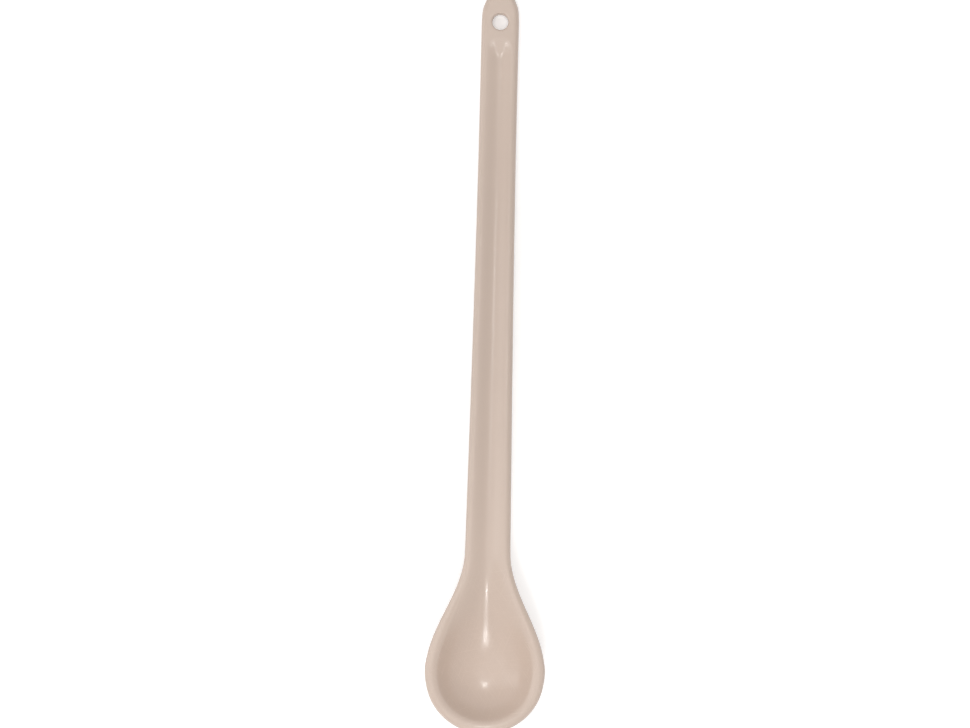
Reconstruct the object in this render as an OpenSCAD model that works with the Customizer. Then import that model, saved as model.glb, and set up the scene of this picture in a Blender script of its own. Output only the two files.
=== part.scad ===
// Long-handled kitchen spoon, one moulding, lying on its back.
// Millimetres. +Z is up, +Y runs from the bowl to the handle's end, and X = 0 is the plane of symmetry.
// The origin is on the table, under the middle of the spoon's length.
// A place along the spoon is given as its distance s from the bowl's tip.

/* [Overall] */
// Length from the bowl's tip to the handle's end
overall_length = 300; // [270:1:340]

/* [Bowl] */
// Width of the bowl at its widest, over the rim
bowl_width = 48.4; // [44:0.2:54]
// Distance from the bowl's tip to its widest place
bowl_front = 24; // [21:0.5:28]
// Distance from the bowl's tip to the foot of the flare, where the handle begins
bowl_length = 73.5; // [66:0.5:84]
// Height of the rim above the table at the widest place, before its inner edge is softened
rim_height = 15; // [14:0.1:17]
// Width of the rounded rim, seen from above
rim_width = 4.9; // [4.2:0.1:5.6]
// Depth of the hollow below the rim's crest
bowl_depth = 11.4; // [9:0.1:11.8]

/* [Neck] */
// Width of the handle at the foot of the flare
neck_width = 18.4; // [16:0.1:21]
// Height of the crest above the table at the foot of the flare
neck_height = 16.6; // [15:0.1:19]
// Thickness of the handle there, from the crest to the underside
neck_thickness = 7.4; // [6.4:0.1:8.4]
// Length of the neck piece on the bowl's side of the flare's foot
neck_on_bowl_side = 17; // [12:0.5:20]
// Length of the neck piece on the handle's side of the flare's foot
neck_on_handle_side = 13; // [8:0.5:20]

/* [Handle] */
// Width of the handle at its slim end
end_width = 15.2; // [13.5:0.1:17]
// Length at the slim end over which the width stays the same
even_length = 56; // [48:1:80]
// Distance from the outline at which the trough's sides begin
rail_width = 2.1; // [1.6:0.1:2.6]
// Depth of the trough at the neck
trough_depth_neck = 1.8; // [1.2:0.1:2.2]
// Depth of the trough at its far end
trough_depth_end = 1.2; // [0.8:0.1:1.8]

/* [Hanging end] */
// Length of the hanging end's piece
hanging_end_length = 36; // [34:0.5:44]
// Thickness of the hanging end
end_thickness = 5.4; // [4.6:0.1:6.4]
// Length over which the tip is rounded, seen from above
tip_length = 13; // [9:0.1:14]
// Distance from the tip to the far edge of the trough's scooped end
trough_setback = 17.5; // [16.5:0.5:20]
// Length of the trough's scooped end
scoop_length = 10; // [7:0.5:12]
// Diameter of the hanging hole
hole_diameter = 6.4; // [5:0.1:7.2]
// Distance from the tip to the hanging hole's centre
hole_setback = 11.8; // [10:0.1:12.4]
// Width and depth of the bevel round each mouth of the hole
hole_bevel = 0.6; // [0.3:0.1:0.9]

/* [Edges] */
// Radius of the rim's outer edge, seen from above
edge_round = 2.2; // [1.6:0.1:2.6]
// Drop from the crest to the widest line
edge_drop = 2.2; // [1.6:0.1:2.6]
// Softness of the edge where the rim turns down into the hollow
inner_soft = 1.1; // [0.5:0.05:1.4]
// How much of the round underside is cut away to leave a flat where the spoon rests
rest_cut = 0.8; // [0.7:0.05:1]

/* [Hidden] */
plastic = [0.82, 0.75, 0.7];

// Powers and shares that give the curves their character
taper_power = 1.5;
tip_power = 2.7;
scoop_power = 3;
bowl_belly_power = [2, 0.72];
handle_belly_power = [2.2, 0.5];
tab_belly_power = [4, 0.25];
fullness_share = 0.5;
bend_share = 0.16;

// Places along the spoon
bowl_end = bowl_length - neck_on_bowl_side;
neck_end = bowl_length + neck_on_handle_side;
handle_end = overall_length - hanging_end_length;
taper_end = overall_length - even_length;
scoop_end = overall_length - trough_setback;
scoop_start = scoop_end - scoop_length;
tip_start = overall_length - tip_length;
hole_place = overall_length - hole_setback;
flattening = handle_end - hanging_end_length;

// Half widths and the step over which a slope is taken
bowl_half = bowl_width / 2;
neck_half = neck_width / 2;
end_half = end_width / 2;
slope_step = overall_length / 3000;

// How finely the surface is divided: steps from the middle line to the edge, and rows along the spoon
upper_count = 11;
lower_count = 8;
front_rows = 13;
rear_rows = 12;
neck_rows = 8;
handle_rows = 12;
tab_rows = 13;
tip_rows = 9;
round_faces = 64;

// Steps from 0 to 1: clamp, a soft one, and a straight run with a bend at each end
function part_of(s, low, high) = min(1, max(0, (s - low) / (high - low)));
function soft(u) = (1 - cos(180 * u)) / 2;
function bent(u, b) =
    u < b ? u * u / (2 * b * (1 - b)) :
    u > 1 - b ? 1 - (1 - u) * (1 - u) / (2 * b * (1 - b)) :
    (u - b / 2) / (1 - b);
function mix(a, b, u) = a + (b - a) * u;

// How far the flare has turned from the bowl into the handle, 0 at the bowl's widest place
function flare_turn(s) = soft(part_of(s, bowl_front, bowl_length));
function handle_turn(s) = bent(part_of(s, bowl_length, handle_end), bend_share);
function tab_turn(s) = soft(part_of(s, flattening, handle_end));

// The outline: half the width at s
function taper(s) =
    mix(end_half, neck_half, pow(max(0, (taper_end - s) / (taper_end - bowl_length)), taper_power));
function flare(s) =
    mix(bowl_half, taper(s), flare_turn(s));
function cap(half, v, power) = half * pow(max(0, 1 - pow(v, power)), 1 / power);
function half_width(s) =
    s < bowl_front ? cap(bowl_half, (bowl_front - s) / bowl_front, 2) :
    s > tip_start ? cap(end_half, (s - tip_start) / tip_length, tip_power) :
    s > bowl_length ? taper(s) : flare(s);

// How much longer a cut across the spoon is than a cut square to its edge
function skew(s) =
    let (step = [max(s - slope_step, bowl_front), min(s + slope_step, tip_start)])
    norm([1, (half_width(step[1]) - half_width(step[0])) / (step[1] - step[0])]);

// Distance from the outline, square to it
function cap_inset(x, v, half, reach, power) =
    let (
        u = abs(x) / half,
        reached = pow(pow(u, power) + pow(v, power), 1 / power),
        fall = norm([pow(u, power - 1) / half, pow(v, power - 1) / reach])
    )
    fall == 0 ? half : (1 / reached - 1) * pow(reached, power) / fall;
function inset(x, s) =
    s < bowl_front ? cap_inset(x, (bowl_front - s) / bowl_front, bowl_half, bowl_front, 2) :
    s > tip_start ? cap_inset(x, (s - tip_start) / tip_length, end_half, tip_length, tip_power) :
    (half_width(s) - abs(x)) / skew(s);

// Heights along the middle: the crest, the widest line, the hollow's floor and the underside
function crest(s) =
    s < bowl_length ? mix(rim_height, neck_height, flare_turn(s)) :
    mix(neck_height, end_thickness, handle_turn(s));
function edge_height(s) = crest(s) - edge_drop;
function trough_depth(s) =
    mix(trough_depth_neck, trough_depth_end, part_of(s, bowl_length, scoop_start));
function hollow_depth(s) =
    mix(bowl_depth, trough_depth(s), flare_turn(s));
function floor_wall(s) =
    mix(rim_height - bowl_depth, neck_thickness - trough_depth_neck, flare_turn(s));
function thickness(s) =
    s < bowl_length ? hollow_depth(s) + floor_wall(s) :
    mix(neck_thickness, end_thickness, handle_turn(s));

// The hollow: its half width, and how far a place lies out from its middle, 1 at its edge
function hollow_half(s) =
    half_width(max(s, bowl_front)) - mix(rim_width, rail_width, flare_turn(s)) * skew(s);
function hollow_reach(x, s) =
    let (
        past_front = max(0, bowl_front - s) / (bowl_front - rim_width),
        past_end = max(0, s - scoop_start) / scoop_length,
        sideways = abs(x) / hollow_half(min(max(s, bowl_front), scoop_start)),
        power = s > scoop_start ? scoop_power : 2
    )
    pow(pow(sideways, power) + pow(past_front + past_end, power), 1 / power);

// The upper surface: the rim's rounded crest, the bowl's hollow sunk in it with a soft edge, and the
// trough, whose sides bend over into the rails
function soft_min(a, b, softness) = (a + b - norm([a - b, 2 * softness])) / 2;
function rim_height_at(x, s) =
    let (t = max(0, 1 - inset(x, s) / edge_round))
    crest(s) - edge_drop * (1 - sqrt(max(0, 1 - t * t)));
function hollow_height_at(x, s) =
    let (r = hollow_reach(x, s), full = fullness_share * (1 - flare_turn(s)))
    crest(s) - hollow_depth(s) * (1 - mix(r * r, pow(r, 4), full));
function trough_height_at(x, s) =
    rim_height_at(x, s) - hollow_depth(s) * (1 - soft(min(1, hollow_reach(x, s))));
function top_at(x, s) =
    let (bowl_top = soft_min(rim_height_at(x, s), hollow_height_at(x, s), inner_soft))
    mix(bowl_top, trough_height_at(x, s), flare_turn(s));

// The underside: round under the bowl and the handle, flat under the hanging end
function belly_power(s) =
    s < bowl_length ? mix(bowl_belly_power, handle_belly_power, flare_turn(s)) :
    mix(handle_belly_power, tab_belly_power, tab_turn(s));
function under_at(x, s) =
    let (
        in_front = max(0, bowl_front - s) / bowl_front,
        past_tip = max(0, s - tip_start) / tip_length,
        half = half_width(min(max(s, bowl_front), tip_start)),
        power = belly_power(s),
        out = pow(abs(x) / half, power[0]) + pow(in_front, power[0]) + pow(past_tip, power[0]),
        drop = thickness(max(s, bowl_front)) + rest_cut - edge_drop
    )
    max(0, edge_height(s) - drop * pow(max(0, 1 - out), power[1]));

// One closed cut across the spoon, the upper side from left to right and the underside back again
function cut_across(s) =
    let (half = half_width(s), y = s - overall_length / 2)
    [
        [-half, y, edge_height(s)],
        for (i = [1 - upper_count : upper_count - 1])
            let (x = half * sin(90 * i / upper_count))
            [x, y, top_at(x, s)],
        [half, y, edge_height(s)],
        for (i = [lower_count - 1 : -1 : 1 - lower_count])
            let (x = half * sin(90 * i / lower_count))
            [x, y, under_at(x, s)]
    ];
function tip_at(s) = [0, s - overall_length / 2, edge_height(s)];

// A solid through a list of places, closed at each end by a flat cut or, at a tip, by a point
around = 2 * upper_count + 2 * lower_count;
module loft(places, starts_at_tip = false, ends_at_tip = false) {
    last = len(places) - 1;
    tip = (last + 1) * around;
    rear_cut = last * around;
    sides = [
        for (row = [0 : last - 1])
            for (i = [0 : around - 1])
                let (j = (i + 1) % around, near = row * around, far = near + around)
                each [[near + i, far + j, near + j], [near + i, far + i, far + j]]
    ];
    front = starts_at_tip ?
        [for (i = [0 : around - 1]) [tip, i, (i + 1) % around]] :
        [[for (i = [0 : around - 1]) i]];
    rear = ends_at_tip ?
        [for (i = [0 : around - 1]) [tip, rear_cut + (i + 1) % around, rear_cut + i]] :
        [[for (i = [around - 1 : -1 : 0]) rear_cut + i]];
    polyhedron(
        points = [
            for (s = places) each cut_across(s),
            if (starts_at_tip) tip_at(0),
            if (ends_at_tip) tip_at(overall_length)
        ],
        faces = concat(sides, front, rear));
}

// Places along the spoon: evenly from one cut to the next, or crowded towards a tip
function even(low, high, count) = [for (i = [0 : count]) mix(low, high, i / count)];
front_places = [for (i = [1 : front_rows - 1]) bowl_front * (1 - cos(90 * i / front_rows))];
tip_places = [for (i = [1 : tip_rows - 1]) tip_start + tip_length * sin(90 * i / tip_rows)];

module bowl() {
    color(plastic)
        loft(concat(front_places, even(bowl_front, bowl_end, rear_rows)), starts_at_tip = true);
}

module neck() {
    color(plastic)
        loft(even(bowl_end, neck_end, neck_rows));
}

module handle() {
    color(plastic)
        loft(even(neck_end, handle_end, handle_rows));
}

// The hanging hole, with a bevel at each mouth
module hanging_hole() {
    radius = hole_diameter / 2;
    mouth = radius + hole_bevel;
    translate([0, hole_place - overall_length / 2, 0]) {
        translate([0, 0, -end_thickness / 2])
            cylinder(h = 2 * end_thickness, r = radius, $fn = round_faces);
        translate([0, 0, end_thickness - hole_bevel])
            cylinder(h = 2 * hole_bevel, r1 = radius, r2 = mouth + hole_bevel, $fn = round_faces);
        translate([0, 0, -hole_bevel])
            cylinder(h = 2 * hole_bevel, r1 = mouth + hole_bevel, r2 = radius, $fn = round_faces);
    }
}

module hanging_end() {
    color(plastic)
        difference() {
            loft(concat(even(handle_end, tip_start, tab_rows), tip_places), ends_at_tip = true);
            hanging_hole();
        }
}

bowl();
neck();
handle();
hanging_end();
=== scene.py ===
"""Long-handled kitchen spoon: one glossy moulding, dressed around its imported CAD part.

The spoon lies on its back on the table, its bowl towards -Y and its hanging end towards +Y. Lengths
are in metres, heights are above the table, and a place along the spoon is its distance s from the
bowl's tip.
"""

import logging
import math
from dataclasses import dataclass, field
from enum import Enum
from typing import Callable, Iterable, Union

import bmesh
import bpy
from mathutils import Matrix, Vector

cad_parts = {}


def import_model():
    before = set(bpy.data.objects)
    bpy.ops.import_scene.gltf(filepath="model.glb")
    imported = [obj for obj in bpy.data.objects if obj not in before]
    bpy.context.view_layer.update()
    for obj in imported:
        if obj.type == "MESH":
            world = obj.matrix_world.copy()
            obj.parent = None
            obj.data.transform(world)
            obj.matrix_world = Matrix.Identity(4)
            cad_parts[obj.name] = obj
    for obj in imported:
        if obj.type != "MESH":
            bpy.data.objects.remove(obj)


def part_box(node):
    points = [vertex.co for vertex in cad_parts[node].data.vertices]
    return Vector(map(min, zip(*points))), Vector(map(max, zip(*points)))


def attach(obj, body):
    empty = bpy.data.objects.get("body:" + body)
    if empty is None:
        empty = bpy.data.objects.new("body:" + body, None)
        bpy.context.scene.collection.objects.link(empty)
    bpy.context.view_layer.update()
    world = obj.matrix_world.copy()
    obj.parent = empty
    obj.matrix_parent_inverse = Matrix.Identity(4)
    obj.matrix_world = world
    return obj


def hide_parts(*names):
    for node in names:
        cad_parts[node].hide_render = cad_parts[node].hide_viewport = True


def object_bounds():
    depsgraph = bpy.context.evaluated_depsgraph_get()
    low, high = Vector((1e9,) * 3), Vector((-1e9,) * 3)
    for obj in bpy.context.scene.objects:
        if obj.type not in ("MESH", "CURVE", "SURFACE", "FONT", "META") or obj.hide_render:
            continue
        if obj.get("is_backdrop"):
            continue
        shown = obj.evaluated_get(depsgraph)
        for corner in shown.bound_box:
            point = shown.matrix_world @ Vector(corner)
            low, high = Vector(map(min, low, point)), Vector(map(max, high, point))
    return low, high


LOG = logging.getLogger("spoon")
PARTING = "parting"
Number = Union[int, float]


class Region(Enum):
    """The named regions of the moulding, each a CAD node of the same name."""

    BOWL = "bowl"
    NECK = "neck"
    HANDLE = "handle"
    HANGING_END = "hanging_end"


class Side(Enum):
    """The two sides of the moulding, as it lies on the table."""

    UPPER = 0
    LOWER = 1


def part_of(value: float, low: float, high: float) -> float:
    """Share of the way from low to high, held between 0 and 1."""
    return min(1.0, max(0.0, (value - low) / (high - low)))


def soft(share: float) -> float:
    """A soft step from 0 to 1."""
    return (1 - math.cos(math.pi * share)) / 2


def mix(start: float, end: float, share: float) -> float:
    """The value that lies at share of the way from start to end."""
    return start + (end - start) * share


def bent(share: float, bend: float) -> float:
    """A straight run from 0 to 1 with a round bend at each end.

    Args:
        share: How far along the run, 0 to 1.
        bend: Share of the run that each bend takes.

    Returns:
        How far the run has climbed, 0 to 1.
    """
    if share < bend:
        return share * share / (2 * bend * (1 - bend))
    if share > 1 - bend:
        return 1 - (1 - share) ** 2 / (2 * bend * (1 - bend))
    return (share - bend / 2) / (1 - bend)


def soft_min(first: float, second: float, softness: float) -> float:
    """The smaller of two heights, with a rounded edge where they cross."""
    return (first + second - math.hypot(first - second, 2 * softness)) / 2


@dataclass(frozen=True)
class Form:
    """The moulding's form: its outline, its upper surface and its underside.

    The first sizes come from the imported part, and the others repeat those that it was drawn with.
    """

    length: float
    bowl_width: float
    handle_end: float
    end_thickness: float = 0.0054
    bowl_front: float = 0.024
    bowl_length: float = 0.0735
    rim_height: float = 0.015
    rim_width: float = 0.0049
    bowl_depth: float = 0.0114
    neck_width: float = 0.0184
    neck_height: float = 0.0166
    neck_thickness: float = 0.0074
    end_width: float = 0.0152
    even_length: float = 0.056
    rail_width: float = 0.0021
    trough_depth_neck: float = 0.0018
    trough_depth_end: float = 0.0012
    tip_length: float = 0.013
    trough_setback: float = 0.0175
    scoop_length: float = 0.01
    hole_diameter: float = 0.0064
    hole_setback: float = 0.0118
    edge_round: float = 0.0022
    edge_drop: float = 0.0022
    inner_soft: float = 0.0011
    rest_cut: float = 0.0008
    taper_power: float = 1.5
    tip_power: float = 2.7
    scoop_power: float = 3
    bowl_belly: tuple[float, float] = (2, 0.72)
    handle_belly: tuple[float, float] = (2.2, 0.5)
    end_belly: tuple[float, float] = (4, 0.25)
    fullness_share: float = 0.5
    bend_share: float = 0.16
    slope_steps: int = 3000

    @property
    def bowl_half(self) -> float:
        """Half the bowl's width."""
        return self.bowl_width / 2

    @property
    def end_half(self) -> float:
        """Half the hanging end's width."""
        return self.end_width / 2

    @property
    def taper_end(self) -> float:
        """Where the handle stops growing slimmer."""
        return self.length - self.even_length

    @property
    def scoop_end(self) -> float:
        """The far edge of the trough's scooped end."""
        return self.length - self.trough_setback

    @property
    def scoop_start(self) -> float:
        """Where the trough begins to close."""
        return self.scoop_end - self.scoop_length

    @property
    def tip_start(self) -> float:
        """Where the outline begins to round towards the tip."""
        return self.length - self.tip_length

    @property
    def hole_place(self) -> float:
        """The hanging hole's centre."""
        return self.length - self.hole_setback

    def flare_turn(self, s: float) -> float:
        """How far the bowl has turned into the neck, 0 to 1."""
        return soft(part_of(s, self.bowl_front, self.bowl_length))

    def handle_turn(self, s: float) -> float:
        """How far the handle has come down to the hanging end, 0 to 1."""
        return bent(part_of(s, self.bowl_length, self.handle_end), self.bend_share)

    def end_turn(self, s: float) -> float:
        """How far the handle's round back has turned into a flat one, 0 to 1."""
        flattening = 2 * self.handle_end - self.length
        return soft(part_of(s, flattening, self.handle_end))

    def taper(self, s: float) -> float:
        """Half the width of the tapered handle at s."""
        share = max(0.0, (self.taper_end - s) / (self.taper_end - self.bowl_length))
        return mix(self.end_half, self.neck_width / 2, share**self.taper_power)

    def half_width(self, s: float) -> float:
        """Half the width of the outline at s."""
        if s < self.bowl_front:
            ahead = (self.bowl_front - s) / self.bowl_front
            return self.bowl_half * math.sqrt(max(0.0, 1 - ahead * ahead))
        if s > self.tip_start:
            past = (s - self.tip_start) / self.tip_length
            return self.end_half * max(0.0, 1 - past**self.tip_power) ** (1 / self.tip_power)
        if s > self.bowl_length:
            return self.taper(s)
        return mix(self.bowl_half, self.taper(s), self.flare_turn(s))

    def skew(self, s: float) -> float:
        """How much longer a cut across the spoon is than a cut square to its edge."""
        step = self.length / self.slope_steps
        near = max(s - step, self.bowl_front)
        far = min(s + step, self.tip_start)
        return math.hypot(1, (self.half_width(far) - self.half_width(near)) / (far - near))

    def round_inset(self, x: float, v: float, half: float, reach: float, power: float) -> float:
        """Distance in from a rounded end's outline, square to it.

        Args:
            x: Distance from the middle line.
            v: Share of the way from the end's widest place to its tip.
            half: Half the end's width.
            reach: Length of the end.
            power: Power of the rounded outline, 2 for an ellipse.

        Returns:
            The distance, half where the place is at the end's middle.
        """
        u = abs(x) / half
        reached = (u**power + v**power) ** (1 / power)
        fall = math.hypot(u ** (power - 1) / half, v ** (power - 1) / reach)
        if fall == 0:
            return half
        return (1 / reached - 1) * reached**power / fall

    def inset(self, x: float, s: float) -> float:
        """Distance in from the outline, square to it."""
        if s < self.bowl_front:
            ahead = (self.bowl_front - s) / self.bowl_front
            return self.round_inset(x, ahead, self.bowl_half, self.bowl_front, 2)
        if s > self.tip_start:
            past = (s - self.tip_start) / self.tip_length
            return self.round_inset(x, past, self.end_half, self.tip_length, self.tip_power)
        return (self.half_width(s) - abs(x)) / self.skew(s)

    def crest(self, s: float) -> float:
        """Height of the rim's or rail's crest."""
        if s < self.bowl_length:
            return mix(self.rim_height, self.neck_height, self.flare_turn(s))
        return mix(self.neck_height, self.end_thickness, self.handle_turn(s))

    def edge_height(self, s: float) -> float:
        """Height of the widest line."""
        return self.crest(s) - self.edge_drop

    def hollow_depth(self, s: float) -> float:
        """Depth of the hollow or the trough below the crest."""
        trough = mix(
            self.trough_depth_neck,
            self.trough_depth_end,
            part_of(s, self.bowl_length, self.scoop_start),
        )
        return mix(self.bowl_depth, trough, self.flare_turn(s))

    def thickness(self, s: float) -> float:
        """Thickness from the crest down to the underside."""
        if s >= self.bowl_length:
            return mix(self.neck_thickness, self.end_thickness, self.handle_turn(s))
        wall = mix(
            self.rim_height - self.bowl_depth,
            self.neck_thickness - self.trough_depth_neck,
            self.flare_turn(s),
        )
        return self.hollow_depth(s) + wall

    def brim(self, s: float) -> float:
        """Width of the rim or rail between the outline and the hollow, in a cut across the spoon."""
        return mix(self.rim_width, self.rail_width, self.flare_turn(s)) * self.skew(s)

    def hollow_half(self, s: float) -> float:
        """Half the width of the hollow or the trough."""
        return self.half_width(max(s, self.bowl_front)) - self.brim(s)

    def reach(self, x: float, s: float) -> float:
        """How far a place lies out from the middle of the hollow or the trough, 1 at its edge."""
        ahead = max(0.0, self.bowl_front - s) / (self.bowl_front - self.rim_width)
        past = max(0.0, s - self.scoop_start) / self.scoop_length
        sideways = abs(x) / self.hollow_half(min(max(s, self.bowl_front), self.scoop_start))
        power = self.scoop_power if past > 0 else 2
        return (sideways**power + (ahead + past) ** power) ** (1 / power)

    def upper_height(self, x: float, s: float) -> float:
        """Height of the upper surface: the round crest, with the hollow or the trough sunk in it.

        Args:
            x: Distance from the middle line.
            s: Distance from the bowl's tip.

        Returns:
            The height above the table.
        """
        turned = max(0.0, 1 - self.inset(x, s) / self.edge_round)
        rim = self.crest(s) - self.edge_drop * (1 - math.sqrt(max(0.0, 1 - turned * turned)))
        reach, depth, turn = self.reach(x, s), self.hollow_depth(s), self.flare_turn(s)
        full = self.fullness_share * (1 - turn)
        hollow = self.crest(s) - depth * (1 - mix(reach**2, reach**4, full))
        trough = rim - depth * (1 - soft(min(1, reach)))
        return mix(soft_min(rim, hollow, self.inner_soft), trough, turn)

    def belly(self, s: float) -> tuple[float, float]:
        """The two powers that shape the underside at s."""
        if s < self.bowl_length:
            start, end, turn = self.bowl_belly, self.handle_belly, self.flare_turn(s)
        else:
            start, end, turn = self.handle_belly, self.end_belly, self.end_turn(s)
        return mix(start[0], end[0], turn), mix(start[1], end[1], turn)

    def lower_height(self, x: float, s: float) -> float:
        """Height of the underside at a place."""
        ahead = max(0.0, self.bowl_front - s) / self.bowl_front
        past = max(0.0, s - self.tip_start) / self.tip_length
        half = self.half_width(min(max(s, self.bowl_front), self.tip_start))
        power, fullness = self.belly(s)
        out = (abs(x) / half) ** power + ahead**power + past**power
        drop = self.thickness(max(s, self.bowl_front)) + self.rest_cut - self.edge_drop
        return max(0.0, self.edge_height(s) - drop * max(0.0, 1 - out) ** fullness)


def deselect() -> None:
    """Leaves edit mode and deselects every object."""
    if bpy.context.mode != "OBJECT":
        bpy.ops.object.mode_set(mode="OBJECT")
    bpy.ops.object.select_all(action="DESELECT")


def pick_object(thing: bpy.types.Object) -> None:
    """Makes one object the selected and active one."""
    deselect()
    thing.select_set(True)
    bpy.context.view_layer.objects.active = thing


def edit(thing: bpy.types.Object, elements: str = "VERT") -> bmesh.types.BMesh:
    """Enters edit mode on one object, with nothing selected.

    Args:
        thing: The object to edit.
        elements: What is selected by, VERT, EDGE or FACE.

    Returns:
        The mesh being edited.
    """
    pick_object(thing)
    bpy.ops.object.mode_set(mode="EDIT")
    bpy.ops.mesh.select_mode(type=elements)
    bpy.ops.mesh.select_all(action="DESELECT")
    return bmesh.from_edit_mesh(thing.data)


@dataclass(frozen=True)
class Plan:
    """Where each corner of the control cage lies on the form.

    A corner's address is its column, counted from the middle line, its row, counted from the bowl's
    floor towards the tip, and its depth, 0 on the upper side and -1 on the underside. The columns past
    the inner block pass round the bowl's front, and those past the brim's inner edge round the tip too.
    """

    form: Form
    hollow_shares: tuple[float, ...] = (0, 0.25, 0.5, 0.75, 0.93, 1)
    brim_shares: tuple[float, ...] = (1, 0.75, 0.5, 0.15, 0.02)
    inner_columns: int = 2
    front_rows: int = 2
    flare_rows: int = 9
    bend_rows: int = 3
    run_rows: int = 6
    end_rows: int = 2
    hole_rows: int = 4
    hole_margin: float = 0.0011
    mouth_rings: tuple[tuple[float, float], ...] = ((0.0006, 0.00007), (0.00012, 0.00055))
    band: float = 0.0006
    tuck_share: float = 0.003

    @property
    def lip(self) -> int:
        """Column of the hollow's edge."""
        return len(self.hollow_shares) - 1

    @property
    def edge(self) -> int:
        """Column of the outline."""
        return self.lip + len(self.brim_shares) - 1

    @property
    def stations(self) -> list[float]:
        """Places of the straight rows, from the bowl's widest place to the trough's scooped end."""
        form = self.form
        bend = form.bend_share * (form.handle_end - form.bowl_length)
        stops = (
            (form.bowl_front, form.bowl_length, self.flare_rows),
            (form.bowl_length, form.bowl_length + bend, self.bend_rows),
            (form.bowl_length + bend, form.handle_end - bend, self.run_rows),
            (form.handle_end - bend, form.handle_end, self.bend_rows),
            (form.handle_end, form.scoop_start, self.end_rows),
        )
        places = [form.bowl_front]
        for low, high, count in stops:
            places += [mix(low, high, step / count) for step in range(1, count + 1)]
        return places

    @property
    def scoop_row(self) -> int:
        """The row at which the trough begins to close."""
        return self.front_rows + len(self.stations) - 1

    @property
    def hole_row(self) -> int:
        """The first row of the block that the hanging hole takes."""
        return self.scoop_row + self.lip + 2

    @property
    def tip_row(self) -> int:
        """The row abreast of the hole's centre, where the tip begins."""
        return self.hole_row + self.hole_rows // 2

    @property
    def last_row(self) -> int:
        """The inner block's last row."""
        return self.hole_row + self.hole_rows + 2

    def around_hole(self, column: int, row: int, radius: float) -> Vector:
        """A place on a ring round the hanging hole, as x and s."""
        past = row - self.hole_row
        if past == 0:
            eighths = column
        elif past == self.hole_rows:
            eighths = 2 * self.inner_columns + self.hole_rows - column
        else:
            eighths = self.inner_columns + past
        angle = math.pi * eighths / (2 * self.inner_columns + self.hole_rows)
        return Vector((radius * math.sin(angle), self.form.hole_place - radius * math.cos(angle)))

    def round_front(self, ring: int, share: float, side: Side) -> Vector:
        """A place on a ring round the bowl's front, from its tip, 0, to its widest place, 1."""
        form = self.form
        if side is Side.LOWER:
            scale = self.lower_share(ring)
            across, ahead = scale * form.bowl_half, scale * form.bowl_front
        elif ring <= self.lip:
            scale = self.hollow_shares[ring]
            across = scale * form.hollow_half(form.bowl_front)
            ahead = scale * (form.bowl_front - form.rim_width)
        else:
            brim = self.brim_shares[ring - self.lip] * form.rim_width
            across, ahead = form.bowl_half - brim, form.bowl_front - brim
        angle = share * math.pi / 2
        return Vector((across * math.sin(angle), form.bowl_front - ahead * math.cos(angle)))

    def round_tip(self, ring: int, share: float) -> Vector:
        """A place on a ring round the tip, from its side, 0, to the tip itself, 1."""
        form = self.form
        brim = self.brim_shares[ring - self.lip] * form.rail_width
        power = 2 / form.tip_power
        across = max(0.0, math.cos(share * math.pi / 2)) ** power
        past = math.sin(share * math.pi / 2) ** power
        return Vector(
            ((form.end_half - brim) * across, form.tip_start + (form.tip_length - brim) * past)
        )

    def round_scoop(self, column: int, row: int) -> Vector:
        """A place in the trough's scooped end."""
        form = self.form
        rows = row - self.scoop_row
        if column >= rows:
            ring, share = column, rows / column / 2
        else:
            ring, share = rows, 1 - column / rows / 2
        scale = self.hollow_shares[ring]
        half = form.hollow_half(form.scoop_start)
        power = 2 / form.scoop_power
        across = max(0.0, math.cos(share * math.pi / 2)) ** power
        past = math.sin(share * math.pi / 2) ** power
        return Vector((scale * half * across, form.scoop_start + scale * form.scoop_length * past))

    def lower_share(self, ring: int) -> float:
        """Share of the half width at which a ring of the underside lies."""
        return (1 - self.tuck_share) * math.sin(math.pi / 2 * ring / self.edge)

    def across(self, column: int, s: float, side: Side) -> float:
        """Distance of a column from the middle line, in a straight row."""
        form = self.form
        if side is Side.LOWER:
            return self.lower_share(column) * form.half_width(s)
        if column <= self.lip:
            return self.hollow_shares[column] * form.hollow_half(s)
        return form.half_width(s) - self.brim_shares[column - self.lip] * form.brim(s)

    def beside_hole(self, column: int, row: int) -> Vector:
        """A place in a column of the brim, between the scooped end and the tip."""
        form = self.form
        share = (row - self.scoop_row) / (self.tip_row - self.scoop_row)
        s = mix(form.scoop_start, form.tip_start, share)
        return Vector((self.across(column, s, Side.UPPER), s))

    def hanging_end(self, column: int, row: int) -> Vector:
        """A place past the start of the trough's scooped end, as x and s."""
        last = self.last_row
        turn = 2 * self.lip
        if row > last or (row == last and column <= self.lip):
            ring = self.lip + row - last
            share = 0.5 if column >= ring else 1 - column / turn
            return self.round_tip(ring, share)
        if column >= self.lip and row >= self.tip_row:
            return self.round_tip(column, (row - self.tip_row) / turn)
        if column > self.lip:
            return self.beside_hole(column, row)
        if row <= self.scoop_row + self.lip:
            return self.round_scoop(column, row)
        if row in (self.hole_row - 1, last - 1):
            return (self.hanging_end(column, row - 1) + self.hanging_end(column, row + 1)) / 2
        if column == self.lip:
            return self.beside_hole(column, row)
        if column > self.inner_columns:
            share = (column - self.inner_columns) / (self.lip - self.inner_columns)
            beside = self.hanging_end(self.inner_columns, row)
            return beside.lerp(self.hanging_end(self.lip, row), share)
        return self.around_hole(column, row, self.form.hole_diameter / 2 + self.hole_margin)

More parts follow.
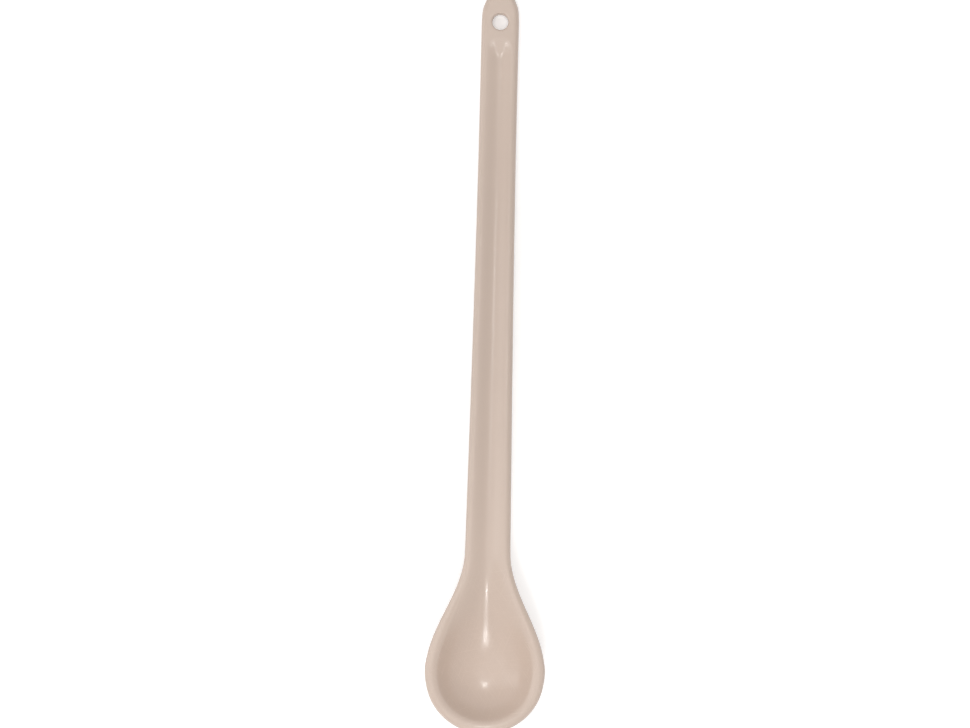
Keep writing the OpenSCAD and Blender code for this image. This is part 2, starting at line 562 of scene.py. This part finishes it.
    def place(self, column: int, row: int, side: Side) -> Vector:
        """Where a corner lies seen from above.

        Args:
            column: Its column.
            row: Its row.
            side: Its side of the moulding.

        Returns:
            Its x and s.
        """
        turn = 2 * self.inner_columns
        if row <= 0:
            ring = self.inner_columns - row
            return self.round_front(ring, min(column, self.inner_columns) / turn, side)
        if row < self.front_rows:
            if column <= row:
                return self.round_front(row, column / row / 2, side)
            return self.round_front(column, 1 - row / turn, side)
        if row > self.scoop_row:
            return self.hanging_end(column, row)
        s = self.stations[row - self.front_rows]
        return Vector((self.across(column, s, side), s))

    def ring(self, column: int, row: int) -> int:
        """The ring that a corner belongs to: its column, or its row past the front or the tip."""
        if row > self.last_row:
            return self.lip + row - self.last_row
        return max(column, self.inner_columns - row)

    def raised(self, spot: Vector, height: float) -> Vector:
        """The point at a height over a place given as x and s."""
        return Vector((spot.x, spot.y - self.form.length / 2, height))

    def hole_wall(self, column: int, row: int, level: int) -> Vector:
        """A corner on the hanging hole's wall, level 1 being the highest of its rings."""
        form = self.form
        radius = form.hole_diameter / 2
        middle = self.levels // 2
        if level == middle:
            spot = self.around_hole(column, row, radius)
            return self.raised(spot, form.end_thickness / 2)
        upper = level < middle
        from_mouth = level if upper else self.levels - level
        widening, drop = self.mouth_rings[from_mouth - 1]
        spot = self.around_hole(column, row, radius + widening)
        if upper:
            return self.raised(spot, form.upper_height(spot.x, spot.y) - drop)
        return self.raised(spot, drop)

    def corner(self, column: int, row: int, depth: float) -> Vector:
        """The point of the form that a corner of the cage is carried to.

        Args:
            column: Its column.
            row: Its row.
            depth: 0 on the upper side, -1 on the underside, and between them on the hole's wall.

        Returns:
            The point, in the part's frame.
        """
        level = round(-depth * self.levels)
        if 0 < level < self.levels:
            return self.hole_wall(column, row, level)
        side = Side.UPPER if level == 0 else Side.LOWER
        spot = self.place(column, row, side)
        if self.ring(column, row) == self.edge:
            lift = self.band / 2 if side is Side.UPPER else -self.band / 2
            return self.raised(spot, self.form.edge_height(spot.y) + lift)
        if side is Side.UPPER:
            return self.raised(spot, self.form.upper_height(spot.x, spot.y))
        return self.raised(spot, self.form.lower_height(spot.x, spot.y))

    def is_fitted(self, column: int, row: int, depth: float) -> bool:
        """Whether the smoothed surface is to pass through a corner's point: all but the underside's."""
        return round(depth) == 0 or self.ring(column, row) == self.edge

    @property
    def levels(self) -> int:
        """Steps down the hanging hole's wall."""
        return 2 * len(self.mouth_rings) + 2


@dataclass
class Moulding:
    """The whole moulding: a cage modelled for one half, mirrored, and smoothed."""

    plan: Plan
    smooth_levels: int = 3
    fitting_passes: int = 2
    merge_distance: float = 0.00001
    whole: bpy.types.Object = field(init=False)

    def make(self) -> bpy.types.Object:
        """Models the moulding in one piece.

        Returns:
            The smoothed mesh, closed and with its faces outward.
        """
        self.lay_inner_block()
        for ring in range(self.plan.inner_columns + 1, self.plan.edge + 1):
            self.add_strip(ring)
        self.thicken()
        self.open_hole()
        addresses = self.addresses()
        corners = [self.plan.corner(*address) for address in addresses]
        fitted = [self.plan.is_fitted(*address) for address in addresses]
        self.mark_parting(addresses)
        self.carry(corners)
        self.add_modifiers()
        for _ in range(self.fitting_passes):
            self.fit(corners, fitted)
        self.apply_modifiers()
        return self.whole

    def lay_inner_block(self) -> None:
        """Lays the cage's inner block flat, one unit a step, from the middle line outwards."""
        columns, rows = self.plan.inner_columns, self.plan.last_row
        deselect()
        bpy.ops.mesh.primitive_grid_add(x_subdivisions=columns, y_subdivisions=rows, size=1)
        self.whole = bpy.context.object
        self.whole.name = "whole_moulding"
        edit(self.whole)
        bpy.ops.mesh.select_all(action="SELECT")
        bpy.ops.transform.resize(value=(columns, rows, 1))
        bpy.ops.transform.translate(value=(columns / 2, rows / 2, 0))

    def select(self, wanted: Callable[[Vector], bool], among: Iterable[bmesh.types.BMVert]) -> None:
        """Selects the corners, among some, whose places in the flat cage are wanted."""
        cage = bmesh.from_edit_mesh(self.whole.data)
        bpy.ops.mesh.select_all(action="DESELECT")
        for vertex in among:
            vertex.select_set(wanted(vertex.co))
        cage.select_flush(True)

    def add_strip(self, ring: int) -> None:
        """Extrudes the cage's outline by one ring, round the front and, past the lip, round the tip."""
        plan = self.plan
        front = plan.inner_columns - ring + 1
        rear = plan.last_row + ring - 1 - plan.lip
        round_tip = ring > plan.lip
        cage = bmesh.from_edit_mesh(self.whole.data)
        bpy.ops.mesh.select_mode(type="EDGE")
        bpy.ops.mesh.select_all(action="DESELECT")
        for side in cage.edges:
            ends = [end.co for end in side.verts]
            on_side = all(round(co.x) == ring - 1 for co in ends)
            on_front = all(round(co.y) == front for co in ends)
            on_rear = round_tip and all(round(co.y) == rear for co in ends)
            side.select_set(on_side or on_front or on_rear)
        bpy.ops.mesh.extrude_edges_move()
        bpy.ops.mesh.select_mode(type="VERT")
        fresh = [vertex for vertex in cage.verts if vertex.select]
        self.select(lambda co: round(co.x) == ring - 1, fresh)
        bpy.ops.transform.translate(value=(1, 0, 0))
        self.select(lambda co: round(co.y) == front, fresh)
        bpy.ops.transform.translate(value=(0, -1, 0))
        if round_tip:
            self.select(lambda co: round(co.y) == rear, fresh)
            bpy.ops.transform.translate(value=(0, 1, 0))

    def thicken(self) -> None:
        """Extrudes the flat cage down into a slab, open along the middle line."""
        bpy.ops.mesh.select_mode(type="FACE")
        bpy.ops.mesh.select_all(action="SELECT")
        bpy.ops.mesh.extrude_region_move(TRANSFORM_OT_translate={"value": (0, 0, -1)})
        self.delete_faces(lambda corners: all(abs(co.x) < 0.5 for co in corners))

    def delete_faces(self, unwanted: Callable[[list[Vector]], bool]) -> None:
        """Deletes the cage's faces whose corners are unwanted."""
        cage = bmesh.from_edit_mesh(self.whole.data)
        bpy.ops.mesh.select_all(action="DESELECT")
        for face in cage.faces:
            face.select_set(unwanted([vertex.co for vertex in face.verts]))
        bpy.ops.mesh.delete(type="FACE")

    def open_hole(self) -> None:
        """Opens the hanging hole through both sides and bridges its wall."""
        plan = self.plan
        low, high = plan.hole_row, plan.hole_row + plan.hole_rows

        def in_block(co: Vector) -> bool:
            return round(co.x) <= plan.inner_columns and low <= round(co.y) <= high

        self.delete_faces(lambda corners: all(in_block(co) for co in corners))
        cage = bmesh.from_edit_mesh(self.whole.data)
        bpy.ops.mesh.select_mode(type="EDGE")
        bpy.ops.mesh.select_all(action="DESELECT")
        for side in cage.edges:
            ends = [end.co for end in side.verts]
            off_middle = any(round(co.x) > 0 for co in ends)
            on_block = all(in_block(co) for co in ends)
            side.select_set(side.is_boundary and off_middle and on_block)
        bpy.ops.mesh.bridge_edge_loops(number_cuts=plan.levels - 1, interpolation="LINEAR")
        bpy.ops.mesh.select_mode(type="VERT")

    def addresses(self) -> list[tuple[int, int, float]]:
        """The column, row and depth of each corner of the flat cage, in the order of its vertices."""
        cage = bmesh.from_edit_mesh(self.whole.data)
        return [(round(v.co.x), round(v.co.y), v.co.z) for v in cage.verts]

    def mark_parting(self, addresses: list[tuple[int, int, float]]) -> None:
        """Stores 1 on the corners of the outline, where the two halves of the mould met."""
        deselect()
        mark = self.whole.data.attributes.new(PARTING, "FLOAT", "POINT")
        for index, (column, row, _) in enumerate(addresses):
            mark.data[index].value = float(self.plan.ring(column, row) == self.plan.edge)

    def carry(self, goals: list[Vector]) -> None:
        """Moves each corner of the cage to its goal."""
        cage = edit(self.whole)
        cage.verts.ensure_lookup_table()
        for index, goal in enumerate(goals):
            vertex = cage.verts[index]
            vertex.select_set(True)
            bpy.ops.transform.translate(value=goal - vertex.co)
            vertex.select_set(False)

    def add_modifiers(self) -> None:
        """Mirrors the half cage across the middle line and smooths it."""
        pick_object(self.whole)
        mirror = self.whole.modifiers.new("mirror", "MIRROR")
        mirror.merge_threshold = self.merge_distance
        smooth = self.whole.modifiers.new("smooth", "SUBSURF")
        smooth.levels = 1
        smooth.render_levels = self.smooth_levels

    def fit(self, corners: list[Vector], fitted: list[bool]) -> None:
        """Moves the cage's corners so that the smoothed surface passes closer to the form.

        Args:
            corners: Where the surface is to pass, for each corner of the cage.
            fitted: Whether that corner is moved. The underside's aren't, so it stays above the table.
        """
        pick_object(self.whole)
        shown = self.whole.evaluated_get(bpy.context.evaluated_depsgraph_get())
        goals = []
        for index, corner in enumerate(corners):
            control = self.whole.data.vertices[index].co.copy()
            miss = corner - shown.data.vertices[index].co
            goals.append(control + miss if fitted[index] else control)
        self.carry(goals)

    def apply_modifiers(self) -> None:
        """Makes the mirrored and smoothed surface real, with its faces outward."""
        pick_object(self.whole)
        self.whole.modifiers["smooth"].levels = self.smooth_levels
        for name in ("mirror", "smooth"):
            bpy.ops.object.modifier_apply(modifier=name)
        edit(self.whole)
        bpy.ops.mesh.select_all(action="SELECT")
        bpy.ops.mesh.normals_make_consistent(inside=False)
        pick_object(self.whole)
        bpy.ops.object.shade_smooth()


@dataclass
class Signal:
    """A number that varies over a surface, worked out by nodes from an expression."""

    nodes: "NodeGraph"
    socket: bpy.types.NodeSocket

    def __add__(self, other: "Signal | Number") -> "Signal":
        """Sum."""
        return self.nodes.maths("ADD", self, other)

    __radd__ = __add__

    def __sub__(self, other: "Signal | Number") -> "Signal":
        """Difference."""
        return self.nodes.maths("SUBTRACT", self, other)

    def __rsub__(self, other: Number) -> "Signal":
        """Difference from a number."""
        return self.nodes.maths("SUBTRACT", other, self)

    def __mul__(self, other: "Signal | Number") -> "Signal":
        """Product."""
        return self.nodes.maths("MULTIPLY", self, other)

    __rmul__ = __mul__

    def ramp(self, low: float, high: float) -> "Signal":
        """A smooth step from 0 at low to 1 at high."""
        node = self.nodes.add(
            "ShaderNodeMapRange",
            {"interpolation_type": "SMOOTHSTEP"},
            {"Value": self, "From Min": low, "From Max": high},
        )
        return Signal(self.nodes, node.outputs["Result"])


class NodeGraph:
    """The nodes of one material, or of the world."""

    def __init__(self, owner: "bpy.types.Material | bpy.types.World") -> None:
        """Clears the owner's nodes, to make way for new ones.

        Args:
            owner: The material or the world.
        """
        owner.use_nodes = True
        self.owner = owner
        self.tree = owner.node_tree
        self.tree.nodes.clear()

    def add(self, kind: str, settings: dict, sockets: dict) -> bpy.types.Node:
        """Adds a node.

        Args:
            kind: The node's type.
            settings: Its settings by name, set before its sockets.
            sockets: Its inputs by name or number, each a value, a socket or a Signal.

        Returns:
            The node.
        """
        node = self.tree.nodes.new(kind)
        for name, value in settings.items():
            setattr(node, name, value)
        for name, value in sockets.items():
            self.feed(node.inputs[name], value)
        return node

    def feed(self, socket: bpy.types.NodeSocket, value: object) -> None:
        """Links a socket to a Signal or another socket, or sets its value."""
        if isinstance(value, Signal):
            value = value.socket
        if isinstance(value, bpy.types.NodeSocket):
            self.tree.links.new(value, socket)
        else:
            socket.default_value = value

    def maths(self, operation: str, first: "Signal | Number", second: "Signal | Number") -> Signal:
        """Adds a Math node."""
        node = self.add("ShaderNodeMath", {"operation": operation}, {0: first, 1: second})
        return Signal(self, node.outputs[0])

    def place(self) -> bpy.types.NodeSocket:
        """The place on the object, in metres."""
        return self.add("ShaderNodeTexCoord", {}, {}).outputs["Object"]

    def axes(self) -> tuple[Signal, Signal, Signal]:
        """The place's x, y and z."""
        split = self.add("ShaderNodeSeparateXYZ", {}, {"Vector": self.place()})
        return tuple(Signal(self, split.outputs[axis]) for axis in "XYZ")

    def noise(
        self,
        size: float,
        detail: float = 2,
        stretch: tuple[float, float, float] = (1, 1, 1),
        turn: float = 0,
    ) -> Signal:
        """A noise between 0 and 1.

        Args:
            size: Size of its blotches, in metres.
            detail: How many finer layers it has.
            stretch: How much longer the blotches are along each axis.
            turn: Turn of the stretched blotches about +Z, in degrees.

        Returns:
            The noise.
        """
        turned = self.add(
            "ShaderNodeMapping",
            {"vector_type": "TEXTURE"},
            {
                "Vector": self.place(),
                "Rotation": (0, 0, math.radians(turn)),
                "Scale": tuple(size * longer for longer in stretch),
            },
        )
        node = self.add(
            "ShaderNodeTexNoise",
            {},
            {"Vector": turned.outputs["Vector"], "Scale": 1, "Detail": detail},
        )
        return Signal(self, node.outputs["Fac"])

    def attribute(self, name: str) -> Signal:
        """A number stored on the mesh."""
        node = self.add("ShaderNodeAttribute", {"attribute_name": name}, {})
        return Signal(self, node.outputs["Fac"])

    def blend(self, first: object, second: object, share: Signal) -> bpy.types.NodeSocket:
        """Mixes two colours."""
        node = self.add(
            "ShaderNodeMix",
            {"data_type": "RGBA"},
            {"Factor": share, 6: first, 7: second},
        )
        return node.outputs[2]

    def seen(self) -> Signal:
        """1 for the rays that show the background: the camera's, and those off gloss, through glass."""
        rays = self.add("ShaderNodeLightPath", {}, {})
        seen = Signal(self, rays.outputs["Is Camera Ray"])
        for kind in ("Is Glossy Ray", "Is Transmission Ray"):
            seen = self.maths("MAXIMUM", seen, Signal(self, rays.outputs[kind]))
        return seen

    def switch(self, first: bpy.types.Node, second: bpy.types.Node) -> bpy.types.NodeSocket:
        """Lights the scene with one node's shader, and shows another's as the background."""
        shaders = {1: first.outputs[0], 2: second.outputs[0]}
        mixed = self.add("ShaderNodeMixShader", {}, {0: self.seen(), **shaders})
        return mixed.outputs[0]

    def surface(self, shader: bpy.types.NodeSocket) -> "bpy.types.Material | bpy.types.World":
        """Ends the nodes with a shader."""
        kind = "World" if isinstance(self.owner, bpy.types.World) else "Material"
        self.add("ShaderNodeOutput" + kind, {}, {"Surface": shader})
        return self.owner


def grey(level: float) -> tuple[float, float, float, float]:
    """An opaque grey, or white at 1."""
    return (level, level, level, 1)


@dataclass(frozen=True)
class GlossyMelamine:
    """The spoon's one finish: solid-coloured melamine with a moulded gloss, lightly used."""

    colour: tuple[float, float, float] = (0.625, 0.5, 0.42)
    tone_shift: float = 0.035
    mottle_size: float = 0.03
    grain_size: float = 0.0007
    grain_share: float = 0.25
    refraction: float = 1.5
    roughness: float = 0.2
    roughness_spread: float = 0.05
    scratch_roughness: float = 0.12
    parting_roughness: float = 0.1
    parting_edge: float = 0.9
    wave_size: float = 0.009
    wave_height: float = 0.000012
    scratch_width: float = 0.00012
    scratch_stretch: float = 90
    scratch_turns: tuple[float, ...] = (12, 71, 128)
    scratch_depth: float = 0.000004
    scratch_levels: tuple[float, float] = (0.69, 0.78)
    handle_wear: float = 0.25
    bowl_places: tuple[float, float] = (0.06, 0.11)

    def material(self) -> bpy.types.Material:
        """Makes the material.

        Returns:
            One material that runs unbroken over all four pieces.
        """
        graph = NodeGraph(bpy.data.materials.new("glossy_melamine"))
        mottle = graph.noise(self.mottle_size, detail=3)
        grain = graph.noise(self.grain_size, detail=1)
        scratches = self.scratches(graph)
        parting = graph.attribute(PARTING).ramp(self.parting_edge, 1)
        lighter = tuple(part * (1 + self.tone_shift) for part in self.colour) + (1,)
        darker = tuple(part * (1 - self.tone_shift) for part in self.colour) + (1,)
        spread = mottle * (1 - self.grain_share) + grain * self.grain_share
        tone = graph.blend(darker, lighter, spread)
        roughness = self.roughness + (mottle - 0.5) * self.roughness_spread
        roughness = roughness + scratches * self.scratch_roughness + parting * self.parting_roughness
        waves = graph.add(
            "ShaderNodeBump",
            {},
            {"Distance": self.wave_height, "Height": graph.noise(self.wave_size, detail=1)},
        )
        scratched = graph.add(
            "ShaderNodeBump",
            {"invert": True},
            {"Distance": self.scratch_depth, "Height": scratches, "Normal": waves.outputs["Normal"]},
        )
        shader = graph.add(
            "ShaderNodeBsdfPrincipled",
            {},
            {
                "Base Color": tone,
                "Roughness": roughness,
                "IOR": self.refraction,
                "Normal": scratched.outputs["Normal"],
            },
        )
        return graph.surface(shader.outputs["BSDF"])

    def scratches(self, graph: NodeGraph) -> Signal:
        """Hairline marks of use, most of them in the bowl."""
        _, along, _ = graph.axes()
        stretch = (self.scratch_stretch, 1, self.scratch_stretch)
        marks = 0
        for turn in self.scratch_turns:
            streaks = graph.noise(self.scratch_width, detail=0, stretch=stretch, turn=turn)
            marks = streaks.ramp(*self.scratch_levels) + marks
        in_bowl = (along * -1).ramp(*self.bowl_places)
        return marks * (self.handle_wear + (1 - self.handle_wear) * in_bowl)


@dataclass(frozen=True)
class TableTop:
    """The plain pale table, which the camera sees white but for the spoon's shadow.

    What the camera sees glows a little, and more so far from the spoon, where the lamps' light is
    weaker.
    """

    size: float = 4
    squares: int = 8
    sink: float = 0.00002
    diffuse: float = 0.8
    seen_diffuse: float = 0.98
    near_glow: float = 0.31
    far_glow: float = 0.42
    near_radius: float = 0.3
    far_radius: float = 1.1

    def make(self) -> bpy.types.Object:
        """Makes the table top just under the spoon."""
        deselect()
        bpy.ops.mesh.primitive_grid_add(
            x_subdivisions=self.squares,
            y_subdivisions=self.squares,
            size=self.size,
            location=(0, 0, -self.sink),
        )
        bpy.ops.object.transform_apply()
        table = bpy.context.object
        table.name = "table_top"
        graph = NodeGraph(bpy.data.materials.new("pale_table"))
        matt = graph.add("ShaderNodeBsdfDiffuse", {}, {"Color": grey(self.diffuse)})
        shaded = graph.add("ShaderNodeBsdfDiffuse", {}, {"Color": grey(self.seen_diffuse)})
        x, y, _ = graph.axes()
        far = (x * x + y * y).ramp(self.near_radius**2, self.far_radius**2)
        tone = graph.blend(grey(self.near_glow), grey(self.far_glow), far)
        glow = graph.add("ShaderNodeEmission", {}, {"Color": tone})
        white = graph.add("ShaderNodeAddShader", {}, {0: shaded.outputs[0], 1: glow.outputs[0]})
        table.data.materials.append(graph.surface(graph.switch(matt, white)))
        table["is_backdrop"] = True
        return table


def hang(
    kind: str, name: str, place: tuple[float, float, float], aim: tuple[float, float, float]
) -> bpy.types.Object:
    """Hangs a lamp and turns it towards a place on or near the spoon.

    Args:
        kind: The lamp's type, AREA or SPOT.
        name: Its name.
        place: Where it hangs.
        aim: What it points at.

    Returns:
        The lamp.
    """
    deselect()
    bpy.ops.object.light_add(type=kind, location=place)
    lamp = bpy.context.object
    lamp.name = name
    lamp.rotation_euler = (Vector(aim) - Vector(place)).to_track_quat("-Z", "Y").to_euler()
    return lamp


@dataclass(frozen=True)
class Lamp:
    """A soft rectangular lamp."""

    name: str
    place: tuple[float, float, float]
    aim: tuple[float, float, float]
    width: float
    length: float
    watts: float

    def make(self) -> bpy.types.Object:
        """Hangs the lamp."""
        lamp = hang("AREA", self.name, self.place, self.aim)
        lamp.data.shape = "RECTANGLE"
        lamp.data.size = self.width
        lamp.data.size_y = self.length
        lamp.data.energy = self.watts
        return lamp


@dataclass(frozen=True)
class Accent:
    """A small round lamp, with a soft-edged beam so many degrees wide."""

    name: str
    place: tuple[float, float, float]
    aim: tuple[float, float, float]
    radius: float
    beam: float
    watts: float

    def make(self) -> bpy.types.Object:
        """Hangs the lamp."""
        lamp = hang("SPOT", self.name, self.place, self.aim)
        lamp.data.shadow_soft_size = self.radius
        lamp.data.spot_size = math.radians(self.beam)
        lamp.data.spot_blend = 1
        lamp.data.energy = self.watts
        return lamp


@dataclass(frozen=True)
class Camera:
    """The camera, straight above, placed by the spoon's two ends in the photograph's frame."""

    form: Form
    height: float = 0.9
    sensor: float = 36
    frame_width: int = 970
    frame_height: int = 728
    bowl_tip_pixel: tuple[float, float] = (483.32, 733.8)
    handle_tip_pixel: tuple[float, float] = (501.09, -6.6)

    def make(self) -> bpy.types.Object:
        """Makes the scene's camera."""
        form = self.form
        near = self.offset(self.bowl_tip_pixel) * (self.height - form.edge_height(0))
        far = self.offset(self.handle_tip_pixel) * (self.height - form.edge_height(form.length))
        span = far - near
        focal = span.length / form.length
        roll = math.atan2(span.x, span.y)
        centre = Vector((0, -form.length / 2)) - Matrix.Rotation(roll, 2) @ near / focal
        deselect()
        bpy.ops.object.camera_add(location=(centre.x, centre.y, self.height), rotation=(0, 0, roll))
        camera = bpy.context.object
        camera.data.sensor_width = self.sensor
        camera.data.lens = focal * self.sensor / self.frame_width
        bpy.context.scene.camera = camera
        return camera

    def offset(self, pixel: tuple[float, float]) -> Vector:
        """A pixel's offset from the middle of the frame, up and to the right."""
        return Vector((pixel[0] - self.frame_width / 2, self.frame_height / 2 - pixel[1]))


@dataclass(frozen=True)
class Studio:
    """The light: a pale room, two broad lamps on the left, a small lamp for the neck, and three accents.

    The bowl accent gives the bright spot in the hollow. The end accents give the two in the trough's
    scooped end, each on the other side of the middle line from its lamp.
    """

    room: float = 0.55
    lamps: tuple[Lamp, ...] = (
        Lamp("broad_lamp", (-0.35, -0.2, 1.4), (0, -0.05, 0), 1.1, 1.5, 3.7),
        Lamp("left_lamp", (-1.3, 0, 0.6), (0, 0, 0), 0.8, 1.6, 3.9),
        Lamp("neck_lamp", (0.01, -0.79, 0.85), (0, -0.1, 0), 0.2, 0.1, 2),
    )
    accents: tuple[Accent, ...] = (
        Accent("bowl_accent", (0, 0.07, 1.3), (0, -0.28, 0), 0.26, 14, 48),
        Accent("end_accent_left", (-0.28, 0.085, 1.3), (0, 0.19, 0), 0.11, 12, 6.5),
        Accent("end_accent_right", (0.28, 0.085, 1.3), (0, 0.19, 0), 0.13, 12, 7),
    )

    def make(self) -> None:
        """Lights the scene and sets how its colours are shown."""
        for lamp in self.lamps + self.accents:
            lamp.make()
        scene = bpy.context.scene
        scene.world = scene.world or bpy.data.worlds.new("pale_room")
        graph = NodeGraph(scene.world)
        light, white = (
            graph.add("ShaderNodeBackground", {}, {"Color": grey(1), "Strength": strength})
            for strength in (self.room, 1)
        )
        graph.surface(graph.switch(light, white))
        scene.view_settings.view_transform = "Standard"


@dataclass
class Piece:
    """One region of the moulding, cut from the whole between two planes across the spoon."""

    region: Region
    low: float
    high: float
    smooth_angle: float = 50

    def make(self, whole: bpy.types.Object, finish: bpy.types.Material) -> bpy.types.Object:
        """Cuts the piece out of a copy of the whole and dresses it.

        Args:
            whole: The whole moulding.
            finish: Its finish.

        Returns:
            The piece, riding on the part's body in its CAD node's place.
        """
        pick_object(whole)
        bpy.ops.object.duplicate()
        piece = bpy.context.object
        piece.name = self.region.value + "_moulding"
        self.cut(piece, self.low, keep_rear=True)
        self.cut(piece, self.high, keep_rear=False)
        pick_object(piece)
        bpy.ops.object.shade_smooth_by_angle(angle=math.radians(self.smooth_angle))
        piece.data.materials.append(finish)
        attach(piece, "root")
        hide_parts(self.region.value)
        return piece

    def cut(self, piece: bpy.types.Object, y: float, keep_rear: bool) -> None:
        """Cuts the piece across at y, closes the cut, and keeps one side, unless y is past an end."""
        if math.isinf(y):
            return
        edit(piece)
        bpy.ops.mesh.select_all(action="SELECT")
        bpy.ops.mesh.bisect(
            plane_co=(0, y, 0),
            plane_no=(0, 1, 0),
            use_fill=True,
            clear_inner=keep_rear,
            clear_outer=not keep_rear,
        )
        bpy.ops.object.mode_set(mode="OBJECT")


def main() -> None:
    """Builds the spoon, its table, its light and its camera."""
    logging.basicConfig(level=logging.INFO, format="%(message)s")
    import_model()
    cad_low, cad_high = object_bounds()
    bowl_low, bowl_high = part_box(Region.BOWL.value)
    neck_low, neck_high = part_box(Region.NECK.value)
    end_low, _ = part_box(Region.HANGING_END.value)
    form = Form(
        length=cad_high.y - cad_low.y,
        bowl_width=bowl_high.x - bowl_low.x,
        handle_end=end_low.y - cad_low.y,
    )
    whole = Moulding(Plan(form)).make()
    finish = GlossyMelamine().material()
    stops = (-math.inf, neck_low.y, neck_high.y, end_low.y, math.inf)
    for region, low, high in zip(Region, stops, stops[1:]):
        piece = Piece(region, low, high).make(whole, finish)
        LOG.info("%s: %d faces", piece.name, len(piece.data.polygons))
    bpy.data.objects.remove(whole)
    TableTop().make()
    Studio().make()
    Camera(form).make()
    low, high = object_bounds()


if __name__ == "__main__":
    main()
